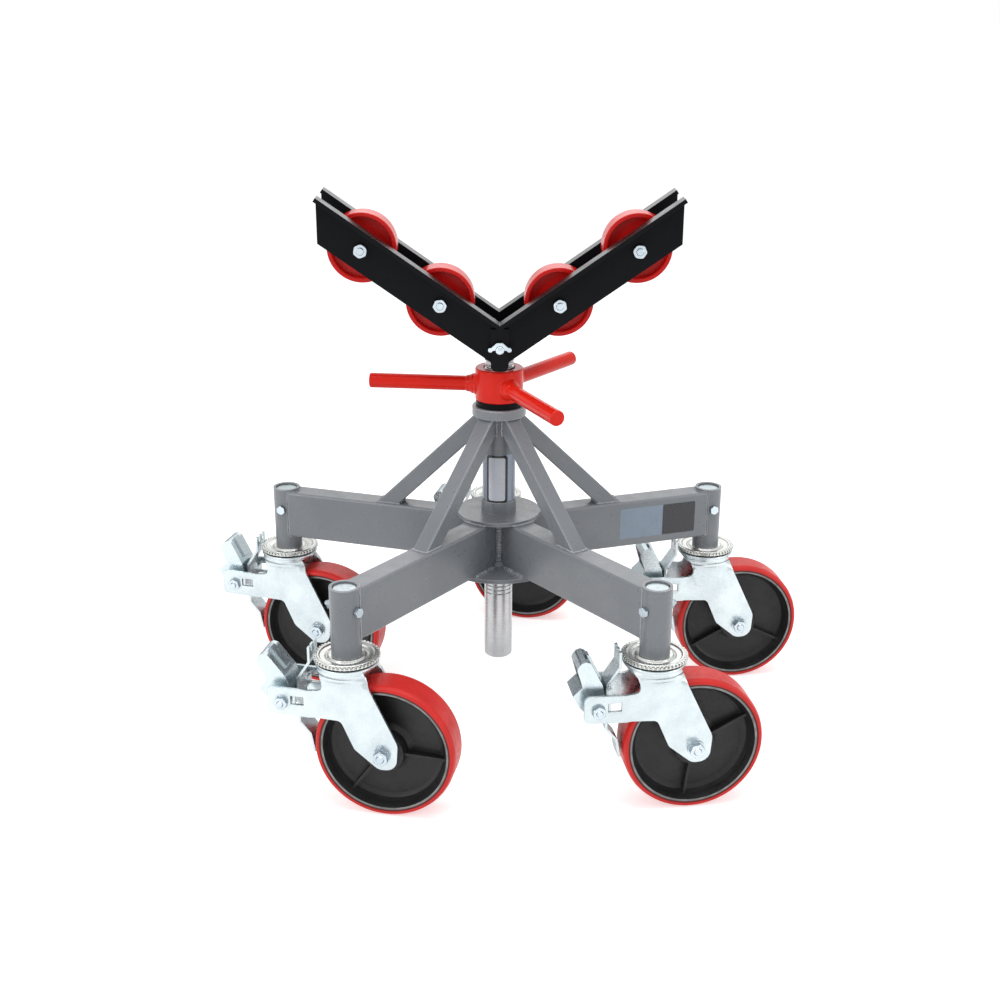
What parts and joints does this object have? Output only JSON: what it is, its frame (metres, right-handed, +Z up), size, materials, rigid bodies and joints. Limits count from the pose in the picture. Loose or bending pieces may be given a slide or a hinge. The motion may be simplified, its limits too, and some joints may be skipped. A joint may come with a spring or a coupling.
{
  "type": "pipe jack stand",
  "caption": "Braked caster base with welded legs carrying a screw jack, a turning handle and a roller V head that cradles a pipe.",
  "frame": {"origin": "on the screw's axis at the floor", "axes": "+Z up along the screw, X across the V of the head, Y along the pipe that lies in it"},
  "size_m": [0.9567, 0.7652, 0.815],
  "materials": {
    "frame_grey": "powder coat, satin",
    "head_black": "powder coat, satin",
    "handle_red": "powder coat, gloss",
    "roller_red": "powder coat, gloss",
    "tread_red": "cast polyurethane, slight sheen",
    "core_black": "painted black",
    "zinc": "bright zinc plate",
    "bolt_zinc": "bright zinc plate",
    "screw_steel": "turned steel, bright",
    "bearing_black": "black oxide",
    "ball_steel": "polished"
  },
  "bodies": {
    "frame": {"lower_hub_plate": "frame_grey", "upper_hub_plate": "frame_grey", "centre_tube": "frame_grey", "tube_foot_ring": "frame_grey", "top_collar": "frame_grey", "leg_beams": "frame_grey", "brace_tubes": "frame_grey", "caster_sockets": "frame_grey", "socket_bolts": "bolt_zinc", "caster_stems": "zinc", "swivel_rings": "zinc", "bearing_seat": "bearing_black", "bearing_balls": "ball_steel"},
    "handle": {"bearing_cap": "bearing_black", "handle_nut": "handle_red", "handle_bars": "handle_red"},
    "screw": {"lift_screw": "screw_steel"},
    "head": {"front_rail": "head_black", "rear_rail": "head_black", "head_socket_tube": "head_black", "head_saddle_plate": "head_black", "head_strap": "head_black", "roller_bolts": "bolt_zinc", "roller_spacers": "bolt_zinc"},
    "wing_screw": {"wing_screw": "bolt_zinc"},
    "roller_outer_left": {"roller_outer_left": "roller_red"},
    "roller_inner_left": {"roller_inner_left": "roller_red"},
    "roller_inner_right": {"roller_inner_right": "roller_red"},
    "roller_outer_right": {"roller_outer_right": "roller_red"},
    "caster_right": {"yoke_right": "zinc", "pins_right": "bolt_zinc"},
    "wheel_right": {"wheel_core_right": "core_black", "tyre_right": "tread_red"},
    "pedal_right": {"pedal_right": "zinc"},
    "brake_leaf_right": {"brake_leaf_right": "zinc"},
    "caster_rear": {"yoke_rear": "zinc", "pins_rear": "bolt_zinc"},
    "wheel_rear": {"wheel_core_rear": "core_black", "tyre_rear": "tread_red"},
    "pedal_rear": {"pedal_rear": "zinc"},
    "brake_leaf_rear": {"brake_leaf_rear": "zinc"},
    "caster_left": {"yoke_left": "zinc", "pins_left": "bolt_zinc"},
    "wheel_left": {"wheel_core_left": "core_black", "tyre_left": "tread_red"},
    "pedal_left": {"pedal_left": "zinc"},
    "brake_leaf_left": {"brake_leaf_left": "zinc"},
    "caster_front_left": {"yoke_front_left": "zinc", "pins_front_left": "bolt_zinc"},
    "wheel_front_left": {"wheel_core_front_left": "core_black", "tyre_front_left": "tread_red"},
    "pedal_front_left": {"pedal_front_left": "zinc"},
    "brake_leaf_front_left": {"brake_leaf_front_left": "zinc"},
    "caster_front_right": {"yoke_front_right": "zinc", "pins_front_right": "bolt_zinc"},
    "wheel_front_right": {"wheel_core_front_right": "core_black", "tyre_front_right": "tread_red"},
    "pedal_front_right": {"pedal_front_right": "zinc"},
    "brake_leaf_front_right": {"brake_leaf_front_right": "zinc"}
  },
  "joints": [
    {"name": "nut_turn", "type": "hinge", "parent": "frame", "child": "handle", "pos_m": [0, 0, 0.535], "axis": [0, 0, -1], "range_deg": [0, 15647.24]},
    {"name": "screw_lift", "type": "slide", "parent": "frame", "child": "screw", "axis": [0, 0, 1], "range_m": [0, 0.2761]},
    {"name": "head_swivel", "type": "hinge", "parent": "screw", "child": "head", "pos_m": [0, 0, 0.583], "axis": [0, 0, 1], "continuous": true},
    {"name": "wing_screw_turn", "type": "hinge", "parent": "head", "child": "wing_screw", "pos_m": [0, -0.05, 0.599], "axis": [0, -1, 0], "range_deg": [-1080, 0]},
    {"name": "roller_outer_left_spin", "type": "hinge", "parent": "head", "child": "roller_outer_left", "pos_m": [-0.197, 0, 0.73974], "axis": [0, 1, 0], "continuous": true},
    {"name": "roller_inner_left_spin", "type": "hinge", "parent": "head", "child": "roller_inner_left", "pos_m": [-0.0858, 0, 0.66188], "axis": [0, 1, 0], "continuous": true},
    {"name": "roller_inner_right_spin", "type": "hinge", "parent": "head", "child": "roller_inner_right", "pos_m": [0.0858, 0, 0.66188], "axis": [0, 1, 0], "continuous": true},
    {"name": "roller_outer_right_spin", "type": "hinge", "parent": "head", "child": "roller_outer_right", "pos_m": [0.197, 0, 0.73974], "axis": [0, 1, 0], "continuous": true},
    {"name": "swivel_right", "type": "hinge", "parent": "frame", "child": "caster_right", "pos_m": [0.34048, 0.11063, 0.22], "axis": [0, 0, 1], "continuous": true},
    {"name": "wheel_spin_right", "type": "hinge", "parent": "caster_right", "child": "wheel_right", "pos_m": [0.39618, 0.11638, 0.1], "axis": [0.1028, -0.9947, 0], "continuous": true},
    {"name": "pedal_press_right", "type": "hinge", "parent": "caster_right", "child": "pedal_right", "pos_m": [0.25692, 0.10199, 0.169], "axis": [0.1028, -0.9947, 0], "range_deg": [0, 24]},
    {"name": "leaf_slide_right", "type": "slide", "parent": "caster_right", "child": "brake_leaf_right", "axis": [0.9947, 0.1028, 0], "range_m": [-0.00005, 0.00305]},
    {"name": "swivel_rear", "type": "hinge", "parent": "frame", "child": "caster_rear", "pos_m": [0, 0.358, 0.22], "axis": [0, 0, 1], "continuous": true},
    {"name": "wheel_spin_rear", "type": "hinge", "parent": "caster_rear", "child": "wheel_rear", "pos_m": [0.05478, 0.34636, 0.1], "axis": [-0.2079, -0.9781, 0], "continuous": true},
    {"name": "pedal_press_rear", "type": "hinge", "parent": "caster_rear", "child": "pedal_rear", "pos_m": [-0.08216, 0.37546, 0.169], "axis": [-0.2079, -0.9781, 0], "range_deg": [0, 24]},
    {"name": "leaf_slide_rear", "type": "slide", "parent": "caster_rear", "child": "brake_leaf_rear", "axis": [0.9781, -0.2079, 0], "range_m": [-0.00005, 0.00305]},
    {"name": "swivel_left", "type": "hinge", "parent": "frame", "child": "caster_left", "pos_m": [-0.34048, 0.11063, 0.22], "axis": [0, 0, 1], "continuous": true},
    {"name": "wheel_spin_left", "type": "hinge", "parent": "caster_left", "child": "wheel_left", "pos_m": [-0.28624, 0.0967, 0.1], "axis": [-0.2487, -0.9686, 0], "continuous": true},
    {"name": "pedal_press_left", "type": "hinge", "parent": "caster_left", "child": "pedal_left", "pos_m": [-0.42184, 0.13152, 0.169], "axis": [-0.2487, -0.9686, 0], "range_deg": [0, 24]},
    {"name": "leaf_slide_left", "type": "slide", "parent": "caster_left", "child": "brake_leaf_left", "axis": [0.9686, -0.2487, 0], "range_m": [-0.00005, 0.00305]},
    {"name": "swivel_front_left", "type": "hinge", "parent": "frame", "child": "caster_front_left", "pos_m": [-0.21043, -0.28963, 0.22], "axis": [0, 0, 1], "continuous": true},
    {"name": "wheel_spin_front_left", "type": "hinge", "parent": "caster_front_left", "child": "wheel_front_left", "pos_m": [-0.15567, -0.30137, 0.1], "axis": [-0.2096, -0.9778, 0], "continuous": true},
    {"name": "pedal_press_front_left", "type": "hinge", "parent": "caster_front_left", "child": "pedal_front_left", "pos_m": [-0.29256, -0.27202, 0.169], "axis": [-0.2096, -0.9778, 0], "range_deg": [-12, 12]},
    {"name": "leaf_slide_front_left", "type": "slide", "parent": "caster_front_left", "child": "brake_leaf_front_left", "axis": [0.9778, -0.2096, 0], "range_m": [-0.00155, 0.00155]},
    {"name": "swivel_front_right", "type": "hinge", "parent": "frame", "child": "caster_front_right", "pos_m": [0.21043, -0.28963, 0.22], "axis": [0, 0, 1], "continuous": true},
    {"name": "wheel_spin_front_right", "type": "hinge", "parent": "caster_front_right", "child": "wheel_front_right", "pos_m": [0.26592, -0.28213, 0.1], "axis": [0.134, -0.991, 0], "continuous": true},
    {"name": "pedal_press_front_right", "type": "hinge", "parent": "caster_front_right", "child": "pedal_front_right", "pos_m": [0.12718, -0.30088, 0.169], "axis": [0.134, -0.991, 0], "range_deg": [0, 24]},
    {"name": "leaf_slide_front_right", "type": "slide", "parent": "caster_front_right", "child": "brake_leaf_front_right", "axis": [0.991, 0.134, 0], "range_m": [-0.00005, 0.00305]}
  ],
  "couplings": [
    {"joint": "screw_lift", "follows": "nut_turn", "m_per_rad": 0.0010106},
    {"joint": "leaf_slide_right", "follows": "pedal_press_right", "m_per_rad": 0.007162},
    {"joint": "leaf_slide_rear", "follows": "pedal_press_rear", "m_per_rad": 0.007162},
    {"joint": "leaf_slide_left", "follows": "pedal_press_left", "m_per_rad": 0.007162},
    {"joint": "leaf_slide_front_left", "follows": "pedal_press_front_left", "m_per_rad": 0.007162},
    {"joint": "leaf_slide_front_right", "follows": "pedal_press_front_right", "m_per_rad": 0.007162}
  ]
}
